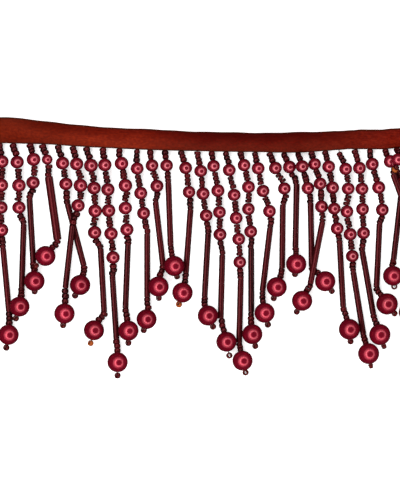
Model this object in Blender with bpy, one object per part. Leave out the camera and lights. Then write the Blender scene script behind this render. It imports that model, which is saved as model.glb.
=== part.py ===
"""Beaded fringe on a satin ribbon: a cut length of passementerie trim, laid out flat.

The ribbon runs along X and the strands of beads lie towards -Y, all on the level z = 0.
Lengths in the tables and constants are millimetres; meshes are built in metres.
"""
import math
from collections import namedtuple

import bmesh
import bpy
import numpy as np
from mathutils import Vector

MM = 0.001

# Ribbon: a 10 mm satin ribbon, its lower edge low over the header and its upper edge rolled up
RIBBON_LENGTH = 166.0
RIBBON_WIDTH = 10.0
RIBBON_THICK = 1.0
RIBBON_STEPS = 40
RIBBON_STRIPS = 5

# Header: the narrow sewn band behind the ribbon's lower edge, which carries every strand
HEADER_THICK = 1.2
HEADER_NEAR = 0.6
HEADER_FAR = 3.6
HEADER_INSET = 0.5
PIECE_GAP = 0.3

# Beads
SIDES = 8
SMALL_PEARL = 5.0
SMALL_PEARL_LENGTH = 4.6
LARGE_PEARL = 8.0
BUGLE_LENGTH = 25.0
BUGLE_WIDTH = 2.4
SEED_WIDTH = 2.3
SEED_LENGTH = 1.5

# Below a large pearl a last seed bead holds the thread, and the thread sags at both its holes
TIP_REACH = 4.8
TIP_SAG = 0.8
ENTRY_SAG = 1.8

# Thread neck that joins a strand to the header, and where the first seed bead starts, both
# measured from the ribbon's lower edge
NECK_WIDTH = 1.0
NECK_HEIGHT = 0.62
NECK_DEPTH = 1.6
NECK_END = 0.55
STRING_START = 0.65

# The ribbon as it lies, at stations along it: dip is how far its lower edge has sunk towards
# the strands, and the two tilts are its slope in degrees at the lower and the upper edge
Station = namedtuple("Station", "along dip low_tilt high_tilt")
RIBBON_STATIONS = (
    Station(0.0, 0.00, 5.0, -22.0),
    Station(15.0, 0.35, 5.0, 36.0),
    Station(23.0, 0.60, 8.0, 50.0),
    Station(30.0, 1.10, 10.0, 57.0),
    Station(42.0, 1.80, 12.0, 61.0),
    Station(62.0, 2.70, 13.0, 63.0),
    Station(81.0, 3.20, 15.0, 67.0),
    Station(101.0, 3.50, 17.0, 68.0),
    Station(120.0, 3.70, 16.0, 62.0),
    Station(128.0, 3.20, 24.0, 62.0),
    Station(136.0, 2.60, 32.0, 57.0),
    Station(146.0, 2.35, 34.0, 53.0),
    Station(152.0, 2.40, 34.0, 53.0),
    Station(158.0, 1.85, 34.0, 53.0),
    Station(166.0, 1.50, 34.0, 54.0),
)

# Each strand as it lies. root is its place along the ribbon. pearls, bugle and drop are the
# middles of its small pearls, its long bead and its large pearl, as (sideways, down) from the
# root. lean is how far the long bead's foot lies to the right of its top, and tip is how far
# the last seed bead lies to the right of the large pearl.
Strand = namedtuple("Strand", "root pearls bugle lean drop tip")
STRANDS = (
    Strand(2.7, ((1.1, 7.4), (1.0, 16.6), (0.8, 25.3), (1.0, 34.1)), (2.7, 53.6), 2.3, (3.8, 74.9), -0.8),
    Strand(8.2, ((1.6, 7.5), (2.3, 16.6), (2.3, 25.2)), (3.7, 44.1), -0.8, (2.6, 63.8), -1.4),
    Strand(14.8, ((1.4, 6.3), (1.2, 15.3)), (0.5, 34.0), 1.4, (1.8, 53.7), 0.0),
    Strand(19.5, ((2.0, 6.2),), (4.3, 25.2), 3.5, (1.4, 43.8), -3.3),
    Strand(25.7, ((1.8, 7.3), (3.1, 15.4)), (6.9, 35.3), 6.4, (8.7, 54.8), -2.1),
    Strand(31.6, ((1.4, 7.2), (2.9, 15.6), (2.0, 23.4)), (-1.6, 43.3), -2.9, (-3.3, 65.5), -0.6),
    Strand(36.7, ((1.9, 7.5), (3.1, 16.3), (3.5, 25.2), (3.3, 33.6)), (6.3, 52.3), 1.4, (3.1, 71.7), -1.2),
    Strand(43.3, ((0.7, 6.9), (1.9, 16.5), (2.2, 24.7), (3.1, 33.7), (3.9, 43.0)), (4.4, 62.5), 1.6,
           (5.7, 83.8), 0.0),
    Strand(49.5, ((1.0, 6.0), (2.5, 14.6), (2.5, 23.4), (3.1, 31.8)), (3.0, 50.1), -1.0, (3.7, 71.2), 0.0),
    Strand(56.4, ((0.2, 7.7), (1.6, 17.3), (2.7, 25.1)), (4.1, 45.5), 0.0, (3.9, 66.4), -1.2),
    Strand(61.6, ((0.8, 6.3), (2.7, 14.3)), (3.6, 32.8), 2.9, (3.3, 53.5), 0.2),
    Strand(67.5, ((0.6, 6.1),), (1.7, 25.2), 0.9, (3.6, 45.3), 1.2),
    Strand(73.7, ((1.8, 6.9), (3.1, 16.3)), (2.8, 35.6), -1.8, (0.6, 55.5), -1.4),
    Strand(80.0, ((1.4, 8.0), (2.3, 16.8), (3.5, 25.3)), (3.6, 44.7), -1.4, (4.2, 64.3), 2.0),
    Strand(85.8, ((0.6, 5.9), (2.3, 15.5), (2.9, 23.9), (3.1, 32.6)), (3.7, 53.0), -0.6, (5.6, 74.4), 1.0),
    Strand(91.3, ((1.2, 7.4), (3.1, 17.1), (3.9, 26.1), (4.9, 34.3), (5.3, 43.3)), (5.4, 62.4), -0.6,
           (6.4, 81.7), 1.2),
    Strand(97.0, ((1.3, 5.4), (3.0, 13.9), (3.0, 22.5), (3.9, 31.3)), (4.1, 50.3), 0.0, (4.5, 71.3), 1.2),
    Strand(102.5, ((1.3, 6.6), (3.2, 15.4), (5.7, 23.3)), (4.5, 42.1), -3.0, (3.8, 62.9), 1.3),
    Strand(108.4, ((2.1, 6.3), (5.6, 14.3)), (4.9, 33.0), -0.3, (2.6, 52.7), -1.2),
    Strand(114.0, ((2.0, 5.8),), (4.6, 24.8), -0.5, (4.6, 43.6), -0.5),
    Strand(119.3, ((1.6, 5.7), (3.9, 14.1)), (5.2, 32.3), 0.5, (10.6, 50.4), 2.7),
    Strand(124.6, ((1.2, 5.0), (3.3, 12.7), (3.9, 21.6)), (1.9, 39.6), -4.9, (-3.7, 58.3), -2.1),
    Strand(130.0, ((1.3, 6.4), (2.8, 14.6), (3.4, 22.8), (4.6, 30.5)), (6.3, 48.7), 1.4, (9.3, 69.8), 0.5),
    Strand(135.4, ((2.5, 7.7), (3.5, 15.4), (3.0, 24.3), (4.3, 33.2), (5.1, 41.7)), (7.5, 60.1), 4.0,
           (11.4, 79.7), 0.9),
    Strand(141.5, ((1.8, 7.6), (2.8, 15.7), (3.0, 23.6), (3.4, 32.9)), (5.1, 52.3), 4.3, (9.7, 72.5), 1.6),
    Strand(147.4, ((0.9, 6.1), (3.4, 15.2), (4.8, 23.9)), (3.2, 41.7), -1.2, (6.6, 60.6), 3.0),
    Strand(153.5, ((1.8, 5.1), (6.4, 13.5)), (4.6, 31.1), -2.9, (2.8, 49.7), 0.7),
    Strand(158.0, ((0.0, 5.0),), (2.6, 22.2), 8.8, (11.5, 41.7), 0.4),
    Strand(163.4, ((0.0, 8.4), (1.6, 17.0), (2.3, 25.6)), (0.6, 44.5), -2.0, (-0.8, 64.7), 0.8),
)

# Where one strand lies over another, how far a bead is raised off the level. Strands count from
# 0 at the left, and small pearls from 1 at the ribbon.
Lift = namedtuple("Lift", "strand bead height")
LIFTS = (
    Lift(1, "drop", 0.7),
    Lift(3, "tip", 1.3),
    Lift(5, "pearl 3", 0.5),
    Lift(5, "bugle top", 3.5),
    Lift(10, "drop", 0.5),
    Lift(11, "drop", 0.6),
    Lift(20, "pearl 1", 2.7),
    Lift(21, "pearl 2", 2.5),
    Lift(21, "bugle top", 0.8),
    Lift(21, "bugle foot", 4.0),
    Lift(22, "pearl 3", 2.6),
    Lift(27, "pearl 1", 5.0),
    Lift(27, "bugle top", 5.5),
    Lift(27, "bugle foot", 3.0),
)

# One strand was strung with a smaller pearl and a thicker long bead than the rest
ODD_STRAND = 3
ODD_PEARL = 4.0
ODD_BUGLE = 3.2

RIBBON_RED = (0.16, 0.014, 0.006, 1.0)
BEAD_RED = (0.13, 0.004, 0.012, 1.0)


def clear_scene():
    for obj in list(bpy.data.objects):
        bpy.data.objects.remove(obj, do_unlink=True)


def make_material(name, colour, roughness):
    material = bpy.data.materials.new(name)
    material.use_nodes = True
    shader = material.node_tree.nodes["Principled BSDF"]
    shader.inputs["Base Color"].default_value = colour
    shader.inputs["Roughness"].default_value = roughness
    shader.inputs["Metallic"].default_value = 0.0
    return material


def add_object(name, bm, material):
    """Turn a bmesh into an object with its normals facing out."""
    bmesh.ops.recalc_face_normals(bm, faces=bm.faces)
    mesh = bpy.data.meshes.new(name)
    bm.to_mesh(mesh)
    bm.free()
    obj = bpy.data.objects.new(name, mesh)
    mesh.materials.append(material)
    bpy.context.scene.collection.objects.link(obj)
    return obj


def ribbon_value(along, field):
    """A station's value at any place along the ribbon, on a smooth curve through the table."""
    places = np.array([station.along for station in RIBBON_STATIONS])
    values = np.array([getattr(station, field) for station in RIBBON_STATIONS])
    slopes = np.gradient(values, places)
    i = int(np.clip(np.searchsorted(places, along) - 1, 0, len(places) - 2))
    span = places[i + 1] - places[i]
    t = (along - places[i]) / span
    start = (2 * t**3 - 3 * t**2 + 1) * values[i] + (t**3 - 2 * t**2 + t) * span * slopes[i]
    end = (3 * t**2 - 2 * t**3) * values[i + 1] + (t**3 - t**2) * span * slopes[i + 1]
    return float(start + end)


def ribbon_edge(along):
    """The ribbon's lower edge seen from above, as y."""
    return -ribbon_value(along, "dip")


def ribbon_section(along):
    """Middle of the ribbon from its lower to its upper edge, and each point's slope."""
    low = math.radians(ribbon_value(along, "low_tilt"))
    high = math.radians(ribbon_value(along, "high_tilt"))
    y = ribbon_edge(along)
    z = HEADER_THICK + PIECE_GAP + RIBBON_THICK / 2
    points = []
    step = RIBBON_WIDTH / RIBBON_STRIPS
    for i in range(RIBBON_STRIPS + 1):
        slope = low + (high - low) * i / RIBBON_STRIPS
        points.append((y, z, slope))
        middle = low + (high - low) * (i + 0.5) / RIBBON_STRIPS
        y += step * math.cos(middle)
        z += step * math.sin(middle)
    return points


def make_ribbon(material):
    """The rolled satin ribbon, a closed sheet between its two faces."""
    bm = bmesh.new()
    faces_of_sheet = []
    for side in (-1, 1):
        rows = []
        for i in range(RIBBON_STEPS + 1):
            along = RIBBON_LENGTH * i / RIBBON_STEPS
            row = []
            for y, z, slope in ribbon_section(along):
                y -= side * math.sin(slope) * RIBBON_THICK / 2
                z += side * math.cos(slope) * RIBBON_THICK / 2
                row.append(bm.verts.new(Vector((along, y, z)) * MM))
            rows.append(row)
        faces_of_sheet.append(rows)
        for near, far in zip(rows, rows[1:]):
            for j in range(RIBBON_STRIPS):
                bm.faces.new((near[j], far[j], far[j + 1], near[j + 1]))
    below, above = faces_of_sheet
    for j in (0, RIBBON_STRIPS):
        for i in range(RIBBON_STEPS):
            bm.faces.new((below[i][j], below[i + 1][j], above[i + 1][j], above[i][j]))
    for i in (0, RIBBON_STEPS):
        for j in range(RIBBON_STRIPS):
            bm.faces.new((below[i][j], below[i][j + 1], above[i][j + 1], above[i][j]))
    return add_object("ribbon", bm, material)


def make_header(material):
    """The flat band that follows the ribbon's lower edge just behind it."""
    bm = bmesh.new()
    near_side = []
    far_side = []
    for i in range(RIBBON_STEPS + 1):
        along = HEADER_INSET + (RIBBON_LENGTH - 2 * HEADER_INSET) * i / RIBBON_STEPS
        edge = ribbon_edge(along)
        near_side.append(bm.verts.new(Vector((along, edge + HEADER_NEAR, 0.0)) * MM))
        far_side.append(bm.verts.new(Vector((along, edge + HEADER_FAR, 0.0)) * MM))
    underside = []
    for i in range(RIBBON_STEPS):
        underside.append(bm.faces.new((near_side[i], near_side[i + 1], far_side[i + 1], far_side[i])))
    raised = bmesh.ops.extrude_face_region(bm, geom=underside, use_keep_orig=True)
    top = [item for item in raised["geom"] if isinstance(item, bmesh.types.BMVert)]
    bmesh.ops.translate(bm, verts=top, vec=(0.0, 0.0, HEADER_THICK * MM))
    return add_object("beaded_fringe", bm, material)


def bead_widths(number):
    """Widths of a strand's small pearls and of its long bead."""
    if number == ODD_STRAND:
        return ODD_PEARL, ODD_BUGLE
    return SMALL_PEARL, BUGLE_WIDTH


def lift_of(number, bead):
    for lift in LIFTS:
        if lift.strand == number and lift.bead == bead:
            return lift.height
    return 0.0


def strand_middles(number):
    """Middle of each bead that shapes a strand, by name, from the ribbon down."""
    strand = STRANDS[number]
    pearl_width, bugle_width = bead_widths(number)
    edge = ribbon_edge(strand.root)
    middles = {}

    def place(bead, sideways, down, level):
        level += lift_of(number, bead)
        middles[bead] = Vector((strand.root + sideways, edge - down, level))

    place("start", 0.0, STRING_START, SEED_WIDTH / 2)
    for count, (sideways, down) in enumerate(strand.pearls, start=1):
        place(f"pearl {count}", sideways, down, pearl_width / 2)
    half_height = math.sqrt(BUGLE_LENGTH**2 - strand.lean**2) / 2
    half_lean = strand.lean / 2
    sideways, down = strand.bugle
    place("bugle top", sideways - half_lean, down - half_height, bugle_width / 2)
    place("bugle foot", sideways + half_lean, down + half_height, bugle_width / 2)
    sideways, down = strand.drop
    place("drop", sideways, down, LARGE_PEARL / 2)
    tip_down = math.sqrt(TIP_REACH**2 - strand.tip**2)
    place("tip", sideways + strand.tip, down + tip_down, LARGE_PEARL / 2 - TIP_SAG)
    return middles


def level_direction(start, end):
    direction = Vector((end.x - start.x, end.y - start.y, 0.0))
    return direction.normalized()


def strand_rings(number):
    """Middle, direction and radius of each ring of a strand's skin, from the header down."""
    pearl_width, bugle_width = bead_widths(number)
    pearl_length = SMALL_PEARL_LENGTH * pearl_width / SMALL_PEARL
    seed = SEED_WIDTH / 2
    # Share of a bead's length from its middle, radius there, and how far that ring hangs down
    small_profile = (
        (-0.5, seed, 0.0),
        (-0.2, pearl_width / 2, 0.0),
        (0.2, pearl_width / 2, 0.0),
        (0.5, seed, 0.0),
    )
    large_profile = (
        (-0.5, seed, ENTRY_SAG),
        (-0.366, 0.366 * LARGE_PEARL, 0.0),
        (-0.134, LARGE_PEARL / 2, 0.0),
        (0.134, LARGE_PEARL / 2, 0.0),
        (0.366, 0.366 * LARGE_PEARL, 0.0),
        (0.5, seed, TIP_SAG),
    )
    middles = strand_middles(number)
    beads = list(middles)
    start = middles["start"]
    down = Vector((0.0, -1.0, 0.0))
    edge = Vector((start.x, start.y + STRING_START, NECK_HEIGHT))
    rings = [
        (edge - down * NECK_DEPTH, down, NECK_WIDTH / 2),
        (edge + down * NECK_END, down, NECK_WIDTH / 2),
        (start, down, seed),
    ]
    for before, bead, after in zip(beads, beads[1:], beads[2:]):
        middle = middles[bead]
        direction = level_direction(middles[before], middles[after])
        if bead.startswith("bugle"):
            rings.append((middle, direction, bugle_width / 2))
            continue
        profile = large_profile if bead == "drop" else small_profile
        length = LARGE_PEARL if bead == "drop" else pearl_length
        for share, radius, sag in profile:
            ring_middle = middle + direction * length * share
            ring_middle.z -= sag
            rings.append((ring_middle, direction, radius))
    direction = level_direction(middles["drop"], middles["tip"])
    rings.append((middles["tip"] + direction * SEED_LENGTH / 2, direction, seed))
    return rings


def make_strands(material):
    """Every strand's faceted skin, as one mesh of separate closed bodies."""
    bm = bmesh.new()
    for number in range(len(STRANDS)):
        rings = []
        for middle, direction, radius in strand_rings(number):
            side = direction.cross(Vector((0.0, 0.0, 1.0)))
            corner = radius / math.cos(math.pi / SIDES)
            ring = []
            for i in range(SIDES):
                angle = 2 * math.pi * (i + 0.5) / SIDES
                offset = side * math.cos(angle) * corner
                offset.z += math.sin(angle) * corner
                ring.append(bm.verts.new((middle + offset) * MM))
            rings.append(ring)
        for near, far in zip(rings, rings[1:]):
            for i in range(SIDES):
                j = (i + 1) % SIDES
                bm.faces.new((near[i], near[j], far[j], far[i]))
        bm.faces.new(rings[0])
        bm.faces.new(rings[-1])
    return add_object("strand_bodies", bm, material)


def fuse_strands(header, strands):
    """Join the strands' necks into the header as one solid."""
    union = header.modifiers.new("strands", "BOOLEAN")
    union.operation = "UNION"
    union.object = strands
    strands.hide_render = True
    strands.display_type = "WIRE"


def centre_on_origin(objects):
    """Shift the meshes so that the trim's box is centred over the origin and stands on z = 0."""
    corners = [vertex.co for obj in objects for vertex in obj.data.vertices]
    low = Vector(min(corner[axis] for corner in corners) for axis in range(3))
    high = Vector(max(corner[axis] for corner in corners) for axis in range(3))
    shift = Vector((-(low.x + high.x) / 2, -(low.y + high.y) / 2, -low.z))
    for obj in objects:
        for vertex in obj.data.vertices:
            vertex.co += shift


def main():
    clear_scene()
    satin = make_material("satin", RIBBON_RED, 0.45)
    beads = make_material("beads", BEAD_RED, 0.2)
    ribbon = make_ribbon(satin)
    header = make_header(beads)
    strands = make_strands(beads)
    centre_on_origin([ribbon, header, strands])
    fuse_strands(header, strands)


main()
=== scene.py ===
"""Looks of the beaded fringe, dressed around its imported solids.

The tables and the layout functions repeat those of the solids, so every bead lies where its
solid does. Lengths in them are millimetres, in the trim's own layout: x runs along the ribbon
from its left end, and y = 0 is the ribbon's lower edge at that end.
"""
import math
import random
from collections import namedtuple

import bpy
import numpy as np
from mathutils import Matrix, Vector


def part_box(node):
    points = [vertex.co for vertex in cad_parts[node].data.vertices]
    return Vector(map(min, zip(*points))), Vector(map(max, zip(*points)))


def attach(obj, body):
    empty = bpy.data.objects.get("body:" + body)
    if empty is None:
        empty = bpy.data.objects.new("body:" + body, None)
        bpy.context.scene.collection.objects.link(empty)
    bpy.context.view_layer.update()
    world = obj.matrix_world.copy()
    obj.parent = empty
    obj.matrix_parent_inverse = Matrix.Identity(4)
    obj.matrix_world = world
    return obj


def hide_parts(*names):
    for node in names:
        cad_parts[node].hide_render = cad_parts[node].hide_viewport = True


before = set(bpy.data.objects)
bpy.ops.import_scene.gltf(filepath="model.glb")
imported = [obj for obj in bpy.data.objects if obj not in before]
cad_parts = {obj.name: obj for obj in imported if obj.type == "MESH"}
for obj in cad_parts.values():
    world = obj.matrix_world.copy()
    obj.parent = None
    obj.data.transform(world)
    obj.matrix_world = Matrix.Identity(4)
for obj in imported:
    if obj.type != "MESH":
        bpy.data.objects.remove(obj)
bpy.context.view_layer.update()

MM = 0.001
rng = random.Random(29)

# Sizes that the solids have too
RIBBON_LENGTH = 166.0
RIBBON_WIDTH = 10.0
RIBBON_THICK = 1.0
RIBBON_STEPS = 40
HEADER_THICK = 1.2
HEADER_NEAR = 0.6
HEADER_FAR = 3.6
HEADER_INSET = 0.5
PIECE_GAP = 0.3
SMALL_PEARL = 5.0
SMALL_PEARL_LENGTH = 4.95
LARGE_PEARL = 8.0
LARGE_PEARL_LENGTH = 7.9
BUGLE_LENGTH = 25.0
BUGLE_WIDTH = 2.4
SEED_WIDTH = 2.3
SEED_LENGTH = 1.5
TIP_REACH = 4.8
TIP_SAG = 0.8
STRING_START = 0.65

Station = namedtuple("Station", "along dip low_tilt high_tilt")
RIBBON_STATIONS = (
    Station(0.0, 0.00, 5.0, -22.0),
    Station(15.0, 0.35, 5.0, 36.0),
    Station(23.0, 0.60, 8.0, 50.0),
    Station(30.0, 1.10, 10.0, 57.0),
    Station(42.0, 1.80, 12.0, 61.0),
    Station(62.0, 2.70, 13.0, 63.0),
    Station(81.0, 3.20, 15.0, 67.0),
    Station(101.0, 3.50, 17.0, 68.0),
    Station(120.0, 3.70, 16.0, 62.0),
    Station(128.0, 3.20, 24.0, 62.0),
    Station(136.0, 2.60, 32.0, 57.0),
    Station(146.0, 2.35, 34.0, 53.0),
    Station(152.0, 2.40, 34.0, 53.0),
    Station(158.0, 1.85, 34.0, 53.0),
    Station(166.0, 1.50, 34.0, 54.0),
)

Strand = namedtuple("Strand", "root pearls bugle lean drop tip")
STRANDS = (
    Strand(2.7, ((1.1, 7.4), (1.0, 16.6), (0.8, 25.3), (1.0, 34.1)), (2.7, 53.6), 2.3, (3.8, 74.9), -0.8),
    Strand(8.2, ((1.6, 7.5), (2.3, 16.6), (2.3, 25.2)), (3.7, 44.1), -0.8, (2.6, 63.8), -1.4),
    Strand(14.8, ((1.4, 6.3), (1.2, 15.3)), (0.5, 34.0), 1.4, (1.8, 53.7), 0.0),
    Strand(19.5, ((2.0, 6.2),), (4.3, 25.2), 3.5, (1.4, 43.8), -3.3),
    Strand(25.7, ((1.8, 7.3), (3.1, 15.4)), (6.9, 35.3), 6.4, (8.7, 54.8), -2.1),
    Strand(31.6, ((1.4, 7.2), (2.9, 15.6), (2.0, 23.4)), (-1.6, 43.3), -2.9, (-3.3, 65.5), -0.6),
    Strand(36.7, ((1.9, 7.5), (3.1, 16.3), (3.5, 25.2), (3.3, 33.6)), (6.3, 52.3), 1.4, (3.1, 71.7), -1.2),
    Strand(43.3, ((0.7, 6.9), (1.9, 16.5), (2.2, 24.7), (3.1, 33.7), (3.9, 43.0)), (4.4, 62.5), 1.6,
           (5.7, 83.8), 0.0),
    Strand(49.5, ((1.0, 6.0), (2.5, 14.6), (2.5, 23.4), (3.1, 31.8)), (3.0, 50.1), -1.0, (3.7, 71.2), 0.0),
    Strand(56.4, ((0.2, 7.7), (1.6, 17.3), (2.7, 25.1)), (4.1, 45.5), 0.0, (3.9, 66.4), -1.2),
    Strand(61.6, ((0.8, 6.3), (2.7, 14.3)), (3.6, 32.8), 2.9, (3.3, 53.5), 0.2),
    Strand(67.5, ((0.6, 6.1),), (1.7, 25.2), 0.9, (3.6, 45.3), 1.2),
    Strand(73.7, ((1.8, 6.9), (3.1, 16.3)), (2.8, 35.6), -1.8, (0.6, 55.5), -1.4),
    Strand(80.0, ((1.4, 8.0), (2.3, 16.8), (3.5, 25.3)), (3.6, 44.7), -1.4, (4.2, 64.3), 2.0),
    Strand(85.8, ((0.6, 5.9), (2.3, 15.5), (2.9, 23.9), (3.1, 32.6)), (3.7, 53.0), -0.6, (5.6, 74.4), 1.0),
    Strand(91.3, ((1.2, 7.4), (3.1, 17.1), (3.9, 26.1), (4.9, 34.3), (5.3, 43.3)), (5.4, 62.4), -0.6,
           (6.4, 81.7), 1.2),
    Strand(97.0, ((1.3, 5.4), (3.0, 13.9), (3.0, 22.5), (3.9, 31.3)), (4.1, 50.3), 0.0, (4.5, 71.3), 1.2),
    Strand(102.5, ((1.3, 6.6), (3.2, 15.4), (5.7, 23.3)), (4.5, 42.1), -3.0, (3.8, 62.9), 1.3),
    Strand(108.4, ((2.1, 6.3), (5.6, 14.3)), (4.9, 33.0), -0.3, (2.6, 52.7), -1.2),
    Strand(114.0, ((2.0, 5.8),), (4.6, 24.8), -0.5, (4.6, 43.6), -0.5),
    Strand(119.3, ((1.6, 5.7), (3.9, 14.1)), (5.2, 32.3), 0.5, (10.6, 50.4), 2.7),
    Strand(124.6, ((1.2, 5.0), (3.3, 12.7), (3.9, 21.6)), (1.9, 39.6), -4.9, (-3.7, 58.3), -2.1),
    Strand(130.0, ((1.3, 6.4), (2.8, 14.6), (3.4, 22.8), (4.6, 30.5)), (6.3, 48.7), 1.4, (9.3, 69.8), 0.5),
    Strand(135.4, ((2.5, 7.7), (3.5, 15.4), (3.0, 24.3), (4.3, 33.2), (5.1, 41.7)), (7.5, 60.1), 4.0,
           (11.4, 79.7), 0.9),
    Strand(141.5, ((1.8, 7.6), (2.8, 15.7), (3.0, 23.6), (3.4, 32.9)), (5.1, 52.3), 4.3, (9.7, 72.5), 1.6),
    Strand(147.4, ((0.9, 6.1), (3.4, 15.2), (4.8, 23.9)), (3.2, 41.7), -1.2, (6.6, 60.6), 3.0),
    Strand(153.5, ((1.8, 5.1), (6.4, 13.5)), (4.6, 31.1), -2.9, (2.8, 49.7), 0.7),
    Strand(158.0, ((0.0, 5.0),), (2.6, 22.2), 8.8, (11.5, 41.7), 0.4),
    Strand(163.4, ((0.0, 8.4), (1.6, 17.0), (2.3, 25.6)), (0.6, 44.5), -2.0, (-0.8, 64.7), 0.8),
)

Lift = namedtuple("Lift", "strand bead height")
LIFTS = (
    Lift(1, "drop", 0.7),
    Lift(3, "tip", 1.3),
    Lift(5, "pearl 3", 0.5),
    Lift(5, "bugle top", 3.5),
    Lift(10, "drop", 0.5),
    Lift(11, "drop", 0.6),
    Lift(20, "pearl 1", 2.7),
    Lift(21, "pearl 2", 2.5),
    Lift(21, "bugle top", 0.8),
    Lift(21, "bugle foot", 4.0),
    Lift(22, "pearl 3", 2.6),
    Lift(27, "pearl 1", 5.0),
    Lift(27, "bugle top", 5.5),
    Lift(27, "bugle foot", 3.0),
)
ODD_STRAND = 3
ODD_PEARL = 4.0
ODD_BUGLE = 3.2

# What only the dressed trim has
CLOTH_THICK = 0.4
CLOTH_WIDTH = 10.25
CLOTH_COLUMNS = 330
CLOTH_STRIPS = 28
HOLE_RADIUS = 0.45
HOLE_SHARE = 0.97
THREAD_WIDTH = 0.34
LOOP_THREAD = 0.76
SEEDS_BETWEEN = 3
SEED_PITCH = 1.5
SEED_LONGEST = 1.95

# The beads on a string vary: small pearls and seed beads are larger in the left third, and a few
# large pearls at the right are larger too
LEFT_STRANDS = 9
RIGHT_STRANDS = (22, 23, 24, 25)
SMALL_SIZE = 1.03
SMALL_SIZE_LEFT = 1.08
SEED_SIZE = 1.10
SEED_SIZE_LEFT = 1.18
LARGE_SIZE_RIGHT = 1.045
SMALL_SPREAD = (0.98, 1.02)
SMALL_SLIMMER = (0.96, 1.0)
LARGE_SPREAD = (0.985, 1.015)
SEED_SPREAD = (0.92, 1.10)
SEED_HALVES = (0.49, 0.54)

# A seed bead stands a little off its thread and a little askew, and one in ten strays further
STRAY = 0.12
STRAY_FAR = 0.38
STRAY_FAR_SHARE = 0.10
STRAY_UP = 0.1
SEED_ASKEW = 0.14

# Where a string starts behind the ribbon, and how it enters a large pearl, whose hole lies aslant
FIRST_SEED = 0.35
NECK_REACH = 2.3
DROP_RISE = 0.13
DROP_ENTRY = 3.7
DROP_ENTRY_LOW = 1.1

# Strands whose thread shows bare below the ribbon, and for how far
BARE_ROOTS = {23: 0.9}
# How light each long bead's glass is, from 0 for nearly black to 1
BUGLE_TINTS = {3: 1.0, 16: 0.0, 0: 0.8, 9: 0.7, 10: 0.85, 11: 0.8, 12: 0.7, 21: 0.9, 5: 0.5, 27: 0.8}
# Seed beads that came out amber: strand, and place from the ribbon, where -1 is the last one
AMBER_SEEDS = {(6, -1), (12, -1), (27, 5)}

# The middle of a strand's last bead lies this far from its pearl's. Each reach is how much of that
# shows from above, and the rest is how far the bead sags
TIP_SPAN = 4.9
TIP_SAG_MOST = 2.4
TIP_REACHES = {
    0: 5.1, 2: 4.05, 3: 5.4, 4: 4.6, 5: 4.6, 6: 5.2, 7: 5.2, 9: 4.45, 10: 4.5, 11: 4.25, 14: 5.5,
    18: 4.5, 19: 4.05, 20: 4.6, 26: 4.25,
}
# It lies crosswise, turned about its strand by this many degrees or so, or as the table says
TIP_TURN = 48.0
TIP_TURN_SPREAD = 12.0
TIP_TURNS = {23: 0.0, 26: 86.0, 3: 30.0, 15: 68.0, 24: 15.0, 14: 70.0}

# Whipping stitches over the header tape
STITCH_START = 1.0
STITCH_END = 1.2
STITCH_STEP = (1.35, 1.75)
STITCH_LEAN = (0.2, 0.7)
STITCH_RADIUS = 0.13
STITCH_PROUD = 0.10
STITCH_SIDES = 14

# Loose warp ends at the ribbon's cut ends
FRAY_INSET = 0.3
FRAY_STRIPS = 40
FRAY_MISSING = 0.25
FRAY_RADIUS = 0.05

# Small waves of the ribbon's face, and one more towards its right end
Wave = namedtuple("Wave", "height along across start")
CLOTH_WAVES = (
    Wave(0.10, 0.21, 0.35, 0.6),
    Wave(0.06, 0.53, -0.8, 0.0),
)
RIGHT_WAVE = Wave(0.05, 1.15, 1.3, 2.0)
RIGHT_WAVE_FROM = 120.0
RIGHT_WAVE_OVER = 20.0


def ribbon_value(along, field):
    """A station's value at any place along the ribbon, on a smooth curve through the table."""
    places = np.array([station.along for station in RIBBON_STATIONS])
    values = np.array([getattr(station, field) for station in RIBBON_STATIONS])
    slopes = np.gradient(values, places)
    i = int(np.clip(np.searchsorted(places, along) - 1, 0, len(places) - 2))
    span = places[i + 1] - places[i]
    t = (along - places[i]) / span
    start = (2 * t**3 - 3 * t**2 + 1) * values[i] + (t**3 - 2 * t**2 + t) * span * slopes[i]
    end = (3 * t**2 - 2 * t**3) * values[i + 1] + (t**3 - t**2) * span * slopes[i + 1]
    return float(start + end)


def ribbon_edge(along):
    return -ribbon_value(along, "dip")


def solid_ribbon_front():
    """The lowest y of the ribbon's solid, in the trim's own layout."""
    lowest = 0.0
    for i in range(RIBBON_STEPS + 1):
        along = RIBBON_LENGTH * i / RIBBON_STEPS
        tilt = math.radians(ribbon_value(along, "low_tilt"))
        lowest = min(lowest, ribbon_edge(along) - math.sin(tilt) * RIBBON_THICK / 2)
    return lowest


# The step from the trim's own layout to the frame of the solids
ribbon_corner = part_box("ribbon")[0]
SHIFT = Vector((ribbon_corner.x / MM, ribbon_corner.y / MM - solid_ribbon_front(), 0.0))


class Pile:
    """Many small closed shapes that are joined as one mesh."""

    def __init__(self):
        self.points = []
        self.faces = []
        self.values = {"tint": [], "amber": []}
        self.total = 0

    def add(self, points, faces, tint=0.5, amber=0.0):
        points = np.asarray(points, float)
        self.points.append(points)
        for face in faces:
            self.faces.append([index + self.total for index in face])
        self.values["tint"].append(np.full(len(points), tint))
        self.values["amber"].append(np.full(len(points), amber))
        self.total += len(points)

    def make(self, name, material, slot):
        points = (np.concatenate(self.points) + np.array(SHIFT)) * MM
        mesh = bpy.data.meshes.new(name)
        mesh.from_pydata(points.tolist(), [], self.faces)
        for field, values in self.values.items():
            attribute = mesh.attributes.new(field, "FLOAT", "POINT")
            attribute.data.foreach_set("value", np.concatenate(values).astype(np.float32))
        mesh.shade_smooth()
        mesh.materials.append(material)
        obj = bpy.data.objects.new(name, mesh)
        bpy.context.scene.collection.objects.link(obj)
        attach(obj, "root")
        return obj


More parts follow.
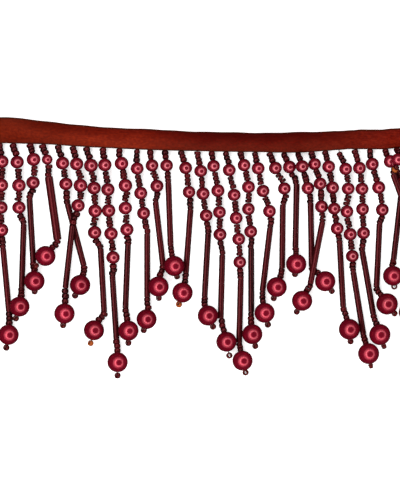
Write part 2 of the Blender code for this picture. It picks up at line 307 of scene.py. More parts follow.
def revolve(profile, segments):
    """A closed profile of (along, radius) turned about its axis: its points and faces."""
    points = []
    for i in range(segments):
        angle = 2 * math.pi * i / segments
        for along, radius in profile:
            points.append((along, radius * math.cos(angle), radius * math.sin(angle)))
    count = len(profile)
    faces = []
    for i in range(segments):
        near = i * count
        far = (i + 1) % segments * count
        for j in range(count):
            k = (j + 1) % count
            faces.append((near + j, near + k, far + k, far + j))
    return np.array(points), faces


def axes_along(direction):
    """Three axes as rows: along the direction, level sideways, and upwards."""
    side = direction.cross(Vector((0.0, 0.0, 1.0)))
    if side.length < 1e-4:
        side = Vector((1.0, 0.0, 0.0))
    side.normalize()
    return np.array([direction, side, side.cross(direction)])


def set_down(shape, middle, direction, scale=(1.0, 1.0, 1.0)):
    """A revolved shape's points, stretched, turned along a direction and moved to its place."""
    return shape * np.array(scale) @ axes_along(direction) + np.array(middle)


def pearl_profile(width, length, steps):
    """A round bead with a small drilled hole, whose rim dips in slightly."""
    rim = 1.25 * HOLE_RADIUS
    dip = 0.22
    first = math.asin(rim / (width / 2))
    profile = []
    for i in range(steps + 1):
        turn = first + (math.pi - 2 * first) * i / steps
        profile.append((-length / 2 * math.cos(turn), width / 2 * math.sin(turn)))
    inside = length / 2 * math.cos(first) - dip
    profile.append((inside, HOLE_RADIUS))
    profile.append((-inside, HOLE_RADIUS))
    return profile


def seed_profile():
    """A rounded ring of unit half-length and unit radius."""
    half = [(1.0, 0.46), (0.98, 0.72), (0.80, 0.91), (0.42, 1.0)]
    profile = [(-along, radius) for along, radius in half]
    profile += [(along, radius) for along, radius in reversed(half)]
    profile.append((0.0, 0.40))
    return profile


def bugle_profile(length, width):
    """A long glass tube with slightly softened ends."""
    half = length / 2
    radius = width / 2
    ends = [(0.0, 0.45), (0.0, 0.80), (0.09, 0.93), (0.28, 0.99), (0.8, 1.0), (4.0, 1.0), (8.5, 1.0)]
    profile = [(-half + inward, radius * share) for inward, share in ends]
    profile += [(half - inward, radius * share) for inward, share in reversed(ends)]
    return profile


def tube(path, radius, sides=6):
    """A thin round thread through the points of a path, with closed ends."""
    path = [Vector(point) for point in path]
    points = []
    for i, place in enumerate(path):
        ahead = path[min(i + 1, len(path) - 1)]
        behind = path[max(i - 1, 0)]
        axes = axes_along((ahead - behind).normalized())
        for j in range(sides):
            angle = 2 * math.pi * j / sides
            offset = axes[1] * math.cos(angle) + axes[2] * math.sin(angle)
            points.append(np.array(place) + offset * radius)
    faces = []
    for i in range(len(path) - 1):
        for j in range(sides):
            k = (j + 1) % sides
            near = i * sides
            far = near + sides
            faces.append((near + j, near + k, far + k, far + j))
    faces.append(tuple(range(sides))[::-1])
    faces.append(tuple(range(len(points) - sides, len(points))))
    return points, faces


def bead_widths(number):
    if number == ODD_STRAND:
        return ODD_PEARL, ODD_BUGLE
    return SMALL_PEARL, BUGLE_WIDTH


def lift_of(number, bead):
    for lift in LIFTS:
        if lift.strand == number and lift.bead == bead:
            return lift.height
    return 0.0


def strand_middles(number):
    """Middle of each bead that shapes a strand, by name, from the ribbon down."""
    strand = STRANDS[number]
    pearl_width, bugle_width = bead_widths(number)
    edge = ribbon_edge(strand.root)
    middles = {}

    def place(bead, sideways, down, level):
        level += lift_of(number, bead)
        middles[bead] = Vector((strand.root + sideways, edge - down, level))

    place("start", 0.0, STRING_START, SEED_WIDTH / 2)
    for count, (sideways, down) in enumerate(strand.pearls, start=1):
        place(f"pearl {count}", sideways, down, pearl_width / 2)
    half_height = math.sqrt(BUGLE_LENGTH**2 - strand.lean**2) / 2
    half_lean = strand.lean / 2
    sideways, down = strand.bugle
    place("bugle top", sideways - half_lean, down - half_height, bugle_width / 2)
    place("bugle foot", sideways + half_lean, down + half_height, bugle_width / 2)
    sideways, down = strand.drop
    place("drop", sideways, down, LARGE_PEARL / 2)
    tip_down = math.sqrt(TIP_REACH**2 - strand.tip**2)
    place("tip", sideways + strand.tip, down + tip_down, LARGE_PEARL / 2 - TIP_SAG)
    return middles


def rested(middle, radius):
    """A round bead's middle, raised where needed so that it isn't below the table."""
    return Vector((middle.x, middle.y, max(middle.z, radius)))


def level_direction(start, end):
    return Vector((end.x - start.x, end.y - start.y, 0.0)).normalized()


def curve_between(start, leave, end, arrive, shares):
    """Places and directions on a smooth curve from one bead's hole to the next bead's."""
    reach = (end - start).length
    found = []
    for t in shares:
        place = (
            (2 * t**3 - 3 * t**2 + 1) * start
            + (t**3 - 2 * t**2 + t) * reach * leave
            + (3 * t**2 - 2 * t**3) * end
            + (t**3 - t**2) * reach * arrive
        )
        slope = (
            (6 * t**2 - 6 * t) * start
            + (3 * t**2 - 4 * t + 1) * reach * leave
            + (6 * t - 6 * t**2) * end
            + (3 * t**2 - 2 * t) * reach * arrive
        )
        found.append((place, slope.normalized()))
    return found


class StrandString:
    """One strand's thread, on which its beads are strung from the header down."""

    def __init__(self, number, shapes, piles):
        at_left = number < LEFT_STRANDS
        pearl_width, _ = bead_widths(number)
        self.number = number
        self.shapes = shapes
        self.piles = piles
        self.seed_size = SEED_SIZE_LEFT if at_left else SEED_SIZE
        self.small_size = pearl_width / SMALL_PEARL * (SMALL_SIZE_LEFT if at_left else SMALL_SIZE)
        self.middles = strand_middles(number)
        start = self.middles["start"]
        bare = BARE_ROOTS.get(number, 0.0)
        neck = Vector((start.x, start.y + NECK_REACH, HEADER_THICK / 2))
        self.path = [neck, start + Vector((0.0, 1.0, -0.35)), start]
        # Where the thread leaves the last bead, and which way
        self.place = start + Vector((0.0, STRING_START - FIRST_SEED - bare, 0.0))
        self.way = Vector((0.0, -1.0, 0.0))
        self.seed_count = 0

    def put(self, pile, shape, middle, way, scale, tint, amber=0.0):
        points, faces = self.shapes[shape]
        self.piles[pile].add(set_down(points, middle, way, scale), faces, tint, amber)

    def add_seeds(self, end, arrive):
        """Seed beads on a smooth curve from the last bead to the next one's hole."""
        gap = (end - self.place).length
        count = SEEDS_BETWEEN
        if self.seed_count == 0:
            count = min(max(round(gap / SEED_PITCH), 2), 4)
        shares = [(i + 0.5) / count for i in range(count)]
        length = gap / count
        for middle, way in curve_between(self.place, self.way, end, arrive, shares):
            width = SEED_WIDTH * self.seed_size * rng.uniform(*SEED_SPREAD)
            stray = STRAY_FAR if rng.random() < STRAY_FAR_SHARE else STRAY
            middle = middle + Vector((rng.uniform(-stray, stray), 0.0, rng.uniform(-STRAY_UP, STRAY_UP)))
            middle.z = max(middle.z, width / 2)
            askew = rng.uniform(-SEED_ASKEW, SEED_ASKEW)
            way = (way + Vector((askew, 0.0, rng.uniform(-STRAY_UP, STRAY_UP)))).normalized()
            half = min(length, SEED_LONGEST) * rng.uniform(*SEED_HALVES)
            amber = 1.0 if (self.number, self.seed_count) in AMBER_SEEDS else 0.0
            self.put("seeds", "seed", middle, way, (half, width / 2, width / 2), rng.random(), amber)
            self.path.append(middle)
            self.seed_count += 1

    def add_small_pearl(self, before, middle, after):
        step = after - before
        way = Vector((step.x, step.y, step.z * 0.6)).normalized()
        half = SMALL_PEARL_LENGTH / 2 * self.small_size
        self.add_seeds(middle - way * half * HOLE_SHARE, way)
        size = self.small_size * rng.uniform(*SMALL_SPREAD)
        slim = size * rng.uniform(*SMALL_SLIMMER)
        lying = rested(middle, SMALL_PEARL / 2 * size)
        self.put("small", "small pearl", lying, way, (slim, size, size), rng.random())
        self.path += [middle - way * half, middle + way * half]
        self.place = middle + way * half * HOLE_SHARE
        self.way = way

    def add_bugle(self, top, foot):
        way = (foot - top).normalized()
        self.add_seeds(top, way)
        shape = "odd bugle" if self.number == ODD_STRAND else "bugle"
        tint = rng.uniform(0.3, 0.65)
        tint = BUGLE_TINTS.get(self.number, tint)
        self.put("bugles", shape, (top + foot) / 2, way, (1.0, 1.0, 1.0), tint)
        self.path += [top, foot]
        self.place = foot
        self.way = way

    def add_large_pearl(self, before, middle, after):
        way = level_direction(before, after)
        way = (way + Vector((0.0, 0.0, DROP_RISE))).normalized()
        entry = middle - way * DROP_ENTRY + Vector((0.0, 0.0, -DROP_ENTRY_LOW))
        self.add_seeds(entry, way)
        size = rng.uniform(*LARGE_SPREAD)
        if self.number in RIGHT_STRANDS:
            size *= LARGE_SIZE_RIGHT
        lying = rested(middle, LARGE_PEARL / 2 * size)
        self.put("large", "large pearl", lying, way, (size, size, size), rng.random())
        half = LARGE_PEARL_LENGTH / 2
        self.path += [middle - way * half, middle + way * half]

    def add_last_bead(self):
        """The bead that holds the thread, and the thread's turn through it."""
        drop = self.middles["drop"]
        way = level_direction(drop, self.middles["tip"])
        reach = TIP_REACHES.get(self.number, TIP_REACH)
        sag = TIP_SAG
        if self.number in TIP_REACHES:
            sag = min(TIP_SAG_MOST, math.sqrt(max(0.0, TIP_SPAN**2 - reach**2)))
        tip = drop + way * reach - Vector((0.0, 0.0, sag))
        across = way.cross(Vector((0.0, 0.0, 1.0))).normalized()
        turn = TIP_TURN + rng.uniform(-TIP_TURN_SPREAD, TIP_TURN_SPREAD)
        turn = math.radians(TIP_TURNS.get(self.number, turn))
        bead_way = across * math.cos(turn) + Vector((0.0, 0.0, math.sin(turn)))
        width = SEED_WIDTH * rng.uniform(1.0, 1.08)
        half = SEED_LENGTH * 0.55
        # Painted light: the last bead gets a lighter glass tint than the other seeds and a trace of amber,
        # for the light from the table below that shows through it
        amber = 1.0 if (self.number, -1) in AMBER_SEEDS else rng.uniform(0.0, 0.06)
        tint = rng.uniform(0.6, 1.0)
        self.put("seeds", "seed", tip, bead_way, (half, width / 2, width / 2), tint, amber)
        points, faces = tube(self.path, THREAD_WIDTH / 2)
        self.piles["thread"].add(points, faces, rng.random())

        # The thread comes out of the pearl, turns round through the last bead and goes back in
        out = drop + way * 3.8 + Vector((0.0, 0.0, 0.45))
        side = bead_way * (half + 0.2)
        loop = [out, out + way * 0.35 + side * 0.4, tip + side - way * 0.25, tip + side * 0.9]
        loop += [tip, tip - side * 0.9, tip - side - way * 0.25, out + way * 0.35 - side * 0.4, out]
        points, faces = tube(loop, THREAD_WIDTH / 2 * LOOP_THREAD)
        self.piles["thread"].add(points, faces, rng.random())

    def string_all(self):
        places = list(self.middles.items())
        for (_, before), (bead, middle), (_, after) in zip(places, places[1:], places[2:]):
            if bead == "bugle top":
                self.add_bugle(middle, after)
            elif bead == "drop":
                self.add_large_pearl(before, middle, after)
            elif bead != "bugle foot":
                self.add_small_pearl(before, middle, after)
        self.add_last_bead()


def ribbon_line(along, strips):
    """Middle of the cloth from the ribbon's lower to its upper edge, with each point's slope."""
    low = math.radians(ribbon_value(along, "low_tilt"))
    high = math.radians(ribbon_value(along, "high_tilt"))
    y = ribbon_edge(along) - (CLOTH_WIDTH - RIBBON_WIDTH)
    z = HEADER_THICK + PIECE_GAP + RIBBON_THICK / 2
    step = CLOTH_WIDTH / strips
    line = []
    for i in range(strips + 1):
        slope = low + (high - low) * i / strips
        line.append((y, z, slope))
        middle = low + (high - low) * (i + 0.5) / strips
        y += step * math.cos(middle)
        z += step * math.sin(middle)
    return line


def wave_height(wave, along, across):
    return wave.height * math.sin(along * wave.along + across * wave.across + wave.start)


def cloth_wave(along, across):
    """Small unevenness of the ribbon's face, in millimetres."""
    height = 0.0
    for wave in CLOTH_WAVES:
        height += wave_height(wave, along, across)
    fade_in = min(1.0, max(0.0, (along - RIGHT_WAVE_FROM) / RIGHT_WAVE_OVER))
    return height + wave_height(RIGHT_WAVE, along, across) * fade_in


def make_ribbon(material):
    """The satin ribbon: a thin closed sheet with its length and width as its map."""
    columns = CLOTH_COLUMNS
    strips = CLOTH_STRIPS
    edge_roll = 0.10
    points = []
    maps = []
    for side in (-1, 1):
        for i in range(columns + 1):
            along = RIBBON_LENGTH * i / columns
            for j, (y, z, slope) in enumerate(ribbon_line(along, strips)):
                across = CLOTH_WIDTH * j / strips
                half_thick = CLOTH_THICK / 2 - (edge_roll if j in (0, strips) else 0.0)
                proud = side * half_thick + cloth_wave(along, across)
                points.append((along, y - proud * math.sin(slope), z + proud * math.cos(slope)))
                maps.append((along * MM, across * MM))
    row = strips + 1
    sheet = row * (columns + 1)
    faces = []
    for i in range(columns):
        for j in range(strips):
            a = i * row + j
            faces.append((a, a + 1, a + row + 1, a + row))
            faces.append((a + sheet, a + row + sheet, a + row + 1 + sheet, a + 1 + sheet))
        for j in (0, strips):
            a = i * row + j
            rim = (a, a + row, a + row + sheet, a + sheet)
            faces.append(rim if j == 0 else rim[::-1])
    for i in (0, columns):
        for j in range(strips):
            a = i * row + j
            rim = (a, a + sheet, a + 1 + sheet, a + 1)
            faces.append(rim if i == 0 else rim[::-1])
    mesh = bpy.data.meshes.new("satin_ribbon")
    world = (np.array(points) + np.array(SHIFT)) * MM
    mesh.from_pydata(world.tolist(), [], faces)
    layer = mesh.uv_layers.new(name="cloth")
    corners = np.zeros(len(mesh.loops), np.int32)
    mesh.loops.foreach_get("vertex_index", corners)
    layer.data.foreach_set("uv", np.array(maps, np.float32)[corners].ravel())
    mesh.shade_smooth()
    mesh.materials.append(material)
    obj = bpy.data.objects.new("satin_ribbon", mesh)
    bpy.context.scene.collection.objects.link(obj)
    return obj


def header_ring(along, sides):
    """The header tape's rounded section."""
    edge = ribbon_edge(along)
    middle = edge + (HEADER_NEAR + HEADER_FAR) / 2
    half_width = (HEADER_FAR - HEADER_NEAR) / 2
    ring = []
    for j in range(sides):
        angle = 2 * math.pi * j / sides
        c = math.cos(angle)
        s = math.sin(angle)
        y = middle + half_width * math.copysign(abs(c) ** 0.5, c)
        z = HEADER_THICK / 2 + HEADER_THICK / 2 * math.copysign(abs(s) ** 0.5, s)
        ring.append((along, y, z))
    return ring


def make_header(pile):
    """The narrow woven tape behind the ribbon, and the whipping stitches over it."""
    steps = 166
    sides = 12
    points = []
    for i in range(steps + 1):
        along = HEADER_INSET + (RIBBON_LENGTH - 2 * HEADER_INSET) * i / steps
        points += header_ring(along, sides)
    faces = []
    for i in range(steps):
        for j in range(sides):
            k = (j + 1) % sides
            near = i * sides
            far = near + sides
            faces.append((near + j, near + k, far + k, far + j))
    faces.append(tuple(range(sides))[::-1])
    faces.append(tuple(range(len(points) - sides, len(points))))
    pile.add(points, faces, 0.4)
    half_width = (HEADER_FAR - HEADER_NEAR) / 2
    half_height = HEADER_THICK / 2
    along = HEADER_INSET + STITCH_START
    while along < RIBBON_LENGTH - HEADER_INSET - STITCH_END:
        lean = rng.uniform(*STITCH_LEAN)
        middle = ribbon_edge(along) + (HEADER_NEAR + HEADER_FAR) / 2
        loop = []
        for j, (_, y, z) in enumerate(header_ring(along, STITCH_SIDES)):
            y = middle + (y - middle) * (1 + STITCH_PROUD / half_width)
            z = half_height + (z - half_height) * (1 + STITCH_PROUD / half_height)
            x = along + lean * math.sin(2 * math.pi * j / STITCH_SIDES)
            loop.append((x, y, max(z, STITCH_RADIUS + 0.01)))
        loop.append(loop[0])
        points, faces = tube(loop, STITCH_RADIUS, 5)
        pile.add(points, faces, rng.random())
        along += rng.uniform(*STITCH_STEP)


def make_fray(pile):
    """Loose warp ends at both cut ends of the ribbon."""
    for at, way in ((FRAY_INSET, -1), (RIBBON_LENGTH - FRAY_INSET, 1)):
        for y, z, _ in ribbon_line(at, FRAY_STRIPS)[1:-1]:
            if rng.random() < FRAY_MISSING:
                continue
            reach = rng.uniform(0.4, 1.4)
            drift = rng.uniform(-0.25, 0.25)
            rise = rng.uniform(-0.15, 0.25)
            path = []
            for t in (0.0, 0.5, 1.0):
                path.append((at + way * (0.2 + reach * t), y + drift * t * t, z + rise * t * t))
            points, faces = tube(path, FRAY_RADIUS, 4)
            pile.add(points, faces, rng.random())


# Materials

def start_material(name):
    material = bpy.data.materials.new(name)
    material.use_nodes = True
    nodes = material.node_tree.nodes
    return material, nodes, material.node_tree.links, nodes["Principled BSDF"]


def add_node(nodes, kind, **inputs):
    node = nodes.new(kind)
    for name, value in inputs.items():
        node.inputs[name.replace("_", " ")].default_value = value
    return node


def ramp_between(nodes, links, source, stops):
    """The colour at a value, on a ramp through (place, colour) stops."""
    ramp = nodes.new("ShaderNodeValToRGB")
    elements = ramp.color_ramp.elements
    while len(elements) < len(stops):
        elements.new(0.5)
    for element, (place, colour) in zip(elements, stops):
        element.position = place
        element.color = (*colour, 1.0)
    links.new(source, ramp.inputs["Fac"])
    return ramp.outputs["Color"]


def bump_from(nodes, links, shader, source, strength, distance):
    bump = add_node(nodes, "ShaderNodeBump", Strength=strength, Distance=distance)
    links.new(source, bump.inputs["Height"])
    links.new(bump.outputs["Normal"], shader.inputs["Normal"])


def combine(nodes, links, operation, *values):
    """The result of one sum on plain numbers and other nodes' outputs."""
    node = nodes.new("ShaderNodeMath")
    node.operation = operation
    for socket, value in zip(node.inputs, values):
        if isinstance(value, float):
            socket.default_value = value
        else:
            links.new(value, socket)
    return node.outputs[0]


def mix_colours(nodes, links, factor, first, second, blend="MIX"):
    """Two colours blended; the factor and the second colour are an output or a plain value."""
    node = nodes.new("ShaderNodeMix")
    node.data_type = "RGBA"
    node.blend_type = blend
    if isinstance(factor, float):
        node.inputs["Factor"].default_value = factor
    else:
        links.new(factor, node.inputs["Factor"])
    links.new(first, node.inputs["A"])
    if isinstance(second, tuple):
        node.inputs["B"].default_value = (*second, 1.0)
    else:
        links.new(second, node.inputs["B"])
    return node.outputs["Result"]


def cloudy(nodes, links, scale, detail, roughness):
    """Noise that lies still in the object's own space."""
    noise = add_node(nodes, "ShaderNodeTexNoise", Scale=scale, Detail=detail, Roughness=roughness)
    place = nodes.new("ShaderNodeTexCoord")
    links.new(place.outputs["Object"], noise.inputs["Vector"])
    return noise.outputs["Fac"]


def spread(nodes, links, source, low, high):
    """A value from 0 to 1 spread over another range."""
    node = nodes.new("ShaderNodeMapRange")
    node.inputs["To Min"].default_value = low
    node.inputs["To Max"].default_value = high
    links.new(source, node.inputs["Value"])
    return node.outputs["Result"]


def point_value(nodes, name):
    node = nodes.new("ShaderNodeAttribute")
    node.attribute_name = name
    return node.outputs["Fac"]


def pearl_material(name, red, coat):
    """Crimson pearl lacquer on plastic: rich dark colour, soft glow and a clear coat."""
    material, nodes, links, shader = start_material(name)
    cloud = cloudy(nodes, links, 520.0, 4.0, 0.6)
    grain = cloudy(nodes, links, 2600.0, 3.0, 0.6)
    bead_tint = spread(nodes, links, point_value(nodes, "tint"), 0.0, 0.55)
    tone = combine(nodes, links, "MULTIPLY_ADD", cloud, 0.45, bead_tint)
    ramp = ramp_between(nodes, links, tone, (
        (0.10, (red * 0.85, red * 0.006, red * 0.055)),
        (0.45, (red, red * 0.009, red * 0.070)),
        (0.85, (red * 1.18, red * 0.014, red * 0.090)),
    ))
    links.new(ramp, shader.inputs["Base Color"])
    links.new(spread(nodes, links, cloud, 0.19, 0.29), shader.inputs["Roughness"])
    bump_from(nodes, links, shader, grain, 0.25, 0.00003)
    shader.inputs["Metallic"].default_value = 0.62
    shader.inputs["Specular Tint"].default_value = (0.30, 0.02, 0.05, 1.0)
    shader.inputs["Coat Weight"].default_value = coat
    shader.inputs["Coat Roughness"].default_value = 0.14
    shader.inputs["Coat IOR"].default_value = 1.60
    return material


def glass_material(name, dark, light, roughness, shine):
    """Dark coloured glass whose body shows a little light, with amber ones among it."""
    material, nodes, links, shader = start_material(name)
    cloud = cloudy(nodes, links, 700.0, 3.0, 0.55)
    grain = cloudy(nodes, links, 1500.0, 3.0, 0.6)
    bead_tint = spread(nodes, links, point_value(nodes, "tint"), 0.0, 0.7)
    tone = combine(nodes, links, "MULTIPLY_ADD", cloud, 0.3, bead_tint)
    ramp = ramp_between(nodes, links, tone, ((0.15, dark), (0.85, light)))
    amber = point_value(nodes, "amber")
    links.new(mix_colours(nodes, links, amber, ramp, (0.30, 0.07, 0.012)), shader.inputs["Base Color"])
    rough = spread(nodes, links, cloud, roughness, roughness + 0.08)
    links.new(rough, shader.inputs["Roughness"])
    bump_from(nodes, links, shader, grain, 0.15, 0.00005)
    shader.inputs["Specular Tint"].default_value = (1.0, 0.17, 0.20, 1.0)
    shader.inputs["Specular IOR Level"].default_value = shine
    shader.inputs["Coat Weight"].default_value = 0.03
    shader.inputs["Coat Roughness"].default_value = 0.12
    return material


def thread_material(name, colour, scale):
    """Twisted thread: fine slanting ridges."""
    material, nodes, links, shader = start_material(name)
    place = nodes.new("ShaderNodeTexCoord").outputs["Object"]
    twist = add_node(nodes, "ShaderNodeTexWave", Scale=scale, Distortion=1.5, Detail=2.0)
    twist.bands_direction = "DIAGONAL"
    links.new(place, twist.inputs["Vector"])
    dark = tuple(channel * 0.45 for channel in colour)
    ramp = ramp_between(nodes, links, twist.outputs["Fac"], ((0.1, dark), (0.9, colour)))
    links.new(ramp, shader.inputs["Base Color"])
    bump_from(nodes, links, shader, twist.outputs["Fac"], 0.6, 0.0001)
    shader.inputs["Roughness"].default_value = 0.75
    shader.inputs["Sheen Weight"].default_value = 0.3
    shader.inputs["Sheen Roughness"].default_value = 0.5
    return material


def satin_material():
    """Red-brown satin: fine lengthwise floats, soft sheen, dark selvedges, and painted shade along and
    across it.
    """
    material, nodes, links, shader = start_material("satin_weave")
    cloth = nodes.new("ShaderNodeUVMap")
    cloth.uv_map = "cloth"
    split = nodes.new("ShaderNodeSeparateXYZ")
    links.new(cloth.outputs["UV"], split.inputs["Vector"])
    length_share = combine(nodes, links, "DIVIDE", split.outputs["X"], RIBBON_LENGTH * MM)
    width_share = combine(nodes, links, "DIVIDE", split.outputs["Y"], CLOTH_WIDTH * MM)

    def cloth_noise(along, across, detail, roughness):
        """Noise with this many grains to a metre along the ribbon and across it."""
        mapping = nodes.new("ShaderNodeMapping")
        mapping.inputs["Scale"].default_value = (along, across, 1.0)
        links.new(cloth.outputs["UV"], mapping.inputs["Vector"])
        noise = add_node(nodes, "ShaderNodeTexNoise", Scale=1.0, Detail=detail, Roughness=roughness)
        links.new(mapping.outputs["Vector"], noise.inputs["Vector"])
        return noise.outputs["Fac"]

    # Warp floats run along the ribbon. Slubs are where the yarn is a little thicker and catches
    # the light, and the patches are the cloth's slow change of tone
    floats = cloth_noise(260.0, 7000.0, 4.0, 0.65)
    slubs = cloth_noise(800.0, 1200.0, 2.0, 0.5)
    patches = cloth_noise(30.0, 220.0, 3.0, 0.55)

    # Faint cross ribs of the weft
    ribs = add_node(nodes, "ShaderNodeTexWave", Scale=620.0, Distortion=0.8)
    ribs.wave_type = "BANDS"
    ribs.bands_direction = "X"
    links.new(cloth.outputs["UV"], ribs.inputs["Vector"])

    slub_tone = spread(nodes, links, slubs, -0.20, 0.55)
    patch_tone = spread(nodes, links, patches, 0.0, 0.35)
    uneven = combine(nodes, links, "ADD", slub_tone, patch_tone)
    tone = combine(nodes, links, "MULTIPLY_ADD", floats, 0.35, uneven)
    colour = ramp_between(nodes, links, tone, (
        (0.28, (0.070, 0.001, 0.001)),
        (0.50, (0.140, 0.005, 0.002)),
        (0.72, (0.225, 0.013, 0.004)),
    ))

    # Painted shade and light in place of the rolled ribbon's shading. Along the length the colour is
    # darker in the middle and at the left end, and a little lighter about a quarter of the way along and
    # near the right end. Across the width it is darker towards both edges
    painted_shade_along = ramp_between(nodes, links, length_share, (
        (0.00, (0.58, 0.58, 0.25)),
        (0.14, (0.62, 0.52, 0.20)),
        (0.25, (0.97, 1.25, 0.90)),
        (0.34, (0.97, 1.20, 0.85)),
        (0.40, (0.70, 0.60, 0.50)),
        (0.50, (0.46, 0.10, 0.25)),
        (0.72, (0.43, 0.08, 0.13)),
        (0.83, (0.68, 0.70, 0.70)),
        (0.93, (1.02, 1.13, 1.12)),
    ))
    # Painted shade across the width: the colour is darker towards the lower edge, and more so towards the
    # upper edge
    lower = ramp_between(nodes, links, width_share, (
        (0.00, (0.75, 0.68, 0.68)),
        (0.42, (1.00, 1.00, 1.00)),
        (0.80, (0.80, 0.67, 0.70)),
        (1.00, (0.72, 0.58, 0.62)),
    ))
    for shade in (painted_shade_along, lower):
        colour = mix_colours(nodes, links, 1.0, colour, shade, "MULTIPLY")

    # Dark selvedge lines, 0.5 mm wide at both edges
    line = (1.0, 1.0, 1.0)
    none = (0.0, 0.0, 0.0)
    selvedge = ramp_between(nodes, links, width_share, (
        (0.0, line),
        (0.045, line),
        (0.07, none),
        (0.93, none),
        (0.955, line),
        (1.0, line),
    ))
    colour = mix_colours(nodes, links, selvedge, colour, (0.020, 0.002, 0.001))
    links.new(colour, shader.inputs["Base Color"])

    height = combine(nodes, links, "MULTIPLY_ADD", ribs.outputs["Fac"], 0.4, floats)
    bump_from(nodes, links, shader, height, 0.35, 0.00008)
    links.new(spread(nodes, links, floats, 0.38, 0.55), shader.inputs["Roughness"])
    shader.inputs["Sheen Weight"].default_value = 0.06
    shader.inputs["Sheen Roughness"].default_value = 0.35
    shader.inputs["Sheen Tint"].default_value = (0.9, 0.16, 0.06, 1.0)
    shader.inputs["Specular IOR Level"].default_value = 0.4
    shader.inputs["Specular Tint"].default_value = (1.0, 0.18, 0.08, 1.0)
    return material


def floor_material():
    """Plain white photo table, which also glows a little, as one lit from below does."""
    material, nodes, links, shader = start_material("table_white")
    shader.inputs["Base Color"].default_value = (0.92, 0.92, 0.92, 1.0)
    shader.inputs["Roughness"].default_value = 0.9
    shader.inputs["Specular IOR Level"].default_value = 0.1
    shader.inputs["Emission Color"].default_value = (1.0, 1.0, 1.0, 1.0)
    shader.inputs["Emission Strength"].default_value = 0.60
    return material


# Camera, floor and lights

# The photograph's frame in pixels, with the place of the ribbon's left end and its lower edge there
PHOTO_WIDTH = 400
PHOTO_HEIGHT = 500
RIBBON_LEFT = -8
RIBBON_EDGE = 142.4
PIXEL = 0.39
VIEW_HEIGHT = PHOTO_HEIGHT * PIXEL
LENS = 300.0
SENSOR = 36.0
BEAD_LEVEL = 2.5
FLOOR_REACH = 3.0
FLOOR_DROP = 0.0003


def make_camera():
    """Straight above the trim, with the photograph's frame of 156 x 195 mm."""
    along = (PHOTO_WIDTH / 2 - RIBBON_LEFT) * PIXEL
    below = (PHOTO_HEIGHT / 2 - RIBBON_EDGE) * PIXEL
    distance = VIEW_HEIGHT / SENSOR * LENS
    spot = Vector((along, -below, BEAD_LEVEL + distance)) + SHIFT
    data = bpy.data.cameras.new("camera")
    data.lens = LENS
    data.sensor_width = SENSOR
    data.clip_start = 0.1
    data.clip_end = 10.0
    camera = bpy.data.objects.new("camera", data)
    camera.location = spot * MM
    bpy.context.scene.collection.objects.link(camera)
    bpy.context.scene.camera = camera


def make_floor():
    mesh = bpy.data.meshes.new("floor")
    reach = FLOOR_REACH
    corners = [(-reach, -reach, 0.0), (reach, -reach, 0.0), (reach, reach, 0.0), (-reach, reach, 0.0)]
    mesh.from_pydata(corners, [], [(0, 1, 2, 3)])
    mesh.materials.append(floor_material())
    floor = bpy.data.objects.new("floor", mesh)
    floor.location.z = -FLOOR_DROP
    floor.visible_glossy = False
    bpy.context.scene.collection.objects.link(floor)


def add_light(name, direction, radius, radiance):
    """A round soft light that faces the trim from a direction; radiance is its brightness."""
    data = bpy.data.lights.new(name, "AREA")
    data.shape = "DISK"
    data.size = 2 * radius
    data.energy = radiance * math.pi * math.pi * radius**2
    light = bpy.data.objects.new(name, data)
    light.location = direction * LAMP_DISTANCE
    light.rotation_euler = direction.to_track_quat("Z", "Y").to_euler()
    light.visible_camera = False
    bpy.context.scene.collection.objects.link(light)


# The main light is a broad ring with a dark middle, leaning a little to the right and towards the
# viewer, and brighter on its left. It is made of two rows of round lamps: how far each row is
# opened, its lamps' half-angle, their number, their brightness and how much more the left ones have.
# Lamps on the viewer's side have a little more too
Row = namedtuple("Row", "opening spread lamps radiance left")
RING_LEAN = 17.0
RING_DROP = 6.0
LAMP_DISTANCE = 1.5
RING_ROWS = (
    Row(43.0, 9.0, 20, 3.0, 0.40),
    Row(61.0, 9.5, 18, 0.9, 0.90),
)
RING_NEAR = 0.10


def make_lights():
    lean = math.radians(RING_LEAN)
    drop = math.radians(RING_DROP)
    level = Vector((math.cos(lean), 0.0, -math.sin(lean)))
    axis = Vector((math.sin(lean) * math.cos(drop), -math.sin(drop), math.cos(lean) * math.cos(drop)))
    across = axis.cross(level)
    for number, row in enumerate(RING_ROWS):
        opening = math.radians(row.opening)
        radius = LAMP_DISTANCE * math.tan(math.radians(row.spread))
        for i in range(row.lamps):
            turn = 2 * math.pi * i / row.lamps
            sideways = level * math.cos(turn) + across * math.sin(turn)
            direction = axis * math.cos(opening) + sideways * math.sin(opening)
            share = 1.0 - row.left * math.cos(turn) - RING_NEAR * math.sin(turn)
            add_light(f"ring_{number}_{i}", direction, radius, row.radiance * share)


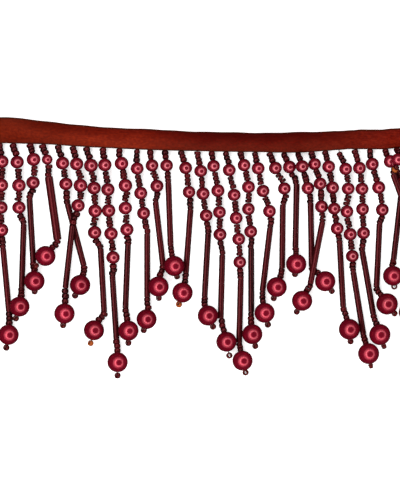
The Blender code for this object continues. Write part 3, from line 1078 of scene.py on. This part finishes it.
def make_world():
    """A pale room above and a dim one below the table."""
    world = bpy.data.worlds.new("studio")
    world.use_nodes = True
    nodes = world.node_tree.nodes
    links = world.node_tree.links
    direction = nodes.new("ShaderNodeTexCoord")
    split = nodes.new("ShaderNodeSeparateXYZ")
    links.new(direction.outputs["Generated"], split.inputs["Vector"])
    height = nodes.new("ShaderNodeMapRange")
    height.inputs["From Min"].default_value = -1.0
    links.new(split.outputs["Z"], height.inputs["Value"])
    ramp = ramp_between(nodes, links, height.outputs["Result"], (
        (0.30, (0.02, 0.02, 0.02)),
        (0.55, (0.05, 0.05, 0.05)),
        (0.85, (0.13, 0.13, 0.13)),
    ))
    links.new(ramp, nodes["Background"].inputs["Color"])
    bpy.context.scene.world = world
    bpy.context.scene.view_settings.view_transform = "Standard"


def main():
    make_camera()
    make_floor()
    make_lights()
    make_world()

    small_lacquer = pearl_material("small_pearl_lacquer", 0.27, 1.0)
    large_lacquer = pearl_material("large_pearl_lacquer", 0.25, 0.49)
    seed_glass = glass_material("seed_glass", (0.003, 0.001, 0.001), (0.050, 0.002, 0.003), 0.18, 0.54)
    bugle_glass = glass_material("bugle_glass", (0.001, 0.001, 0.001), (0.040, 0.002, 0.003), 0.24, 0.62)
    thread = thread_material("twisted_thread", (0.16, 0.012, 0.012), 1800.0)
    tape = thread_material("header_tape", (0.13, 0.010, 0.008), 900.0)
    satin = satin_material()

    shapes = {
        "small pearl": revolve(pearl_profile(SMALL_PEARL, SMALL_PEARL_LENGTH, 16), 24),
        "large pearl": revolve(pearl_profile(LARGE_PEARL, LARGE_PEARL_LENGTH, 24), 36),
        "seed": revolve(seed_profile(), 14),
        "bugle": revolve(bugle_profile(BUGLE_LENGTH, BUGLE_WIDTH), 20),
        "odd bugle": revolve(bugle_profile(BUGLE_LENGTH, ODD_BUGLE), 20),
    }
    piles = {name: Pile() for name in ("small", "large", "seeds", "bugles", "thread")}
    for number in range(len(STRANDS)):
        StrandString(number, shapes, piles).string_all()

    small = piles["small"].make("small_pearls", small_lacquer, "pearl_beads")
    piles["large"].make("large_pearls", large_lacquer, "pearl_beads")
    piles["seeds"].make("seed_beads", seed_glass, "glass_beads")
    piles["bugles"].make("bugle_beads", bugle_glass, "glass_beads")
    piles["thread"].make("bead_thread", thread, "thread")

    header_pile = Pile()
    make_header(header_pile)
    header_pile.make("header_tape", tape, "thread")
    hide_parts("beaded_fringe")

    fray_pile = Pile()
    make_fray(fray_pile)
    fray_pile.make("ribbon_fray", thread, "satin")

    ribbon = make_ribbon(satin)
    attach(ribbon, "root")
    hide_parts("ribbon")


main()
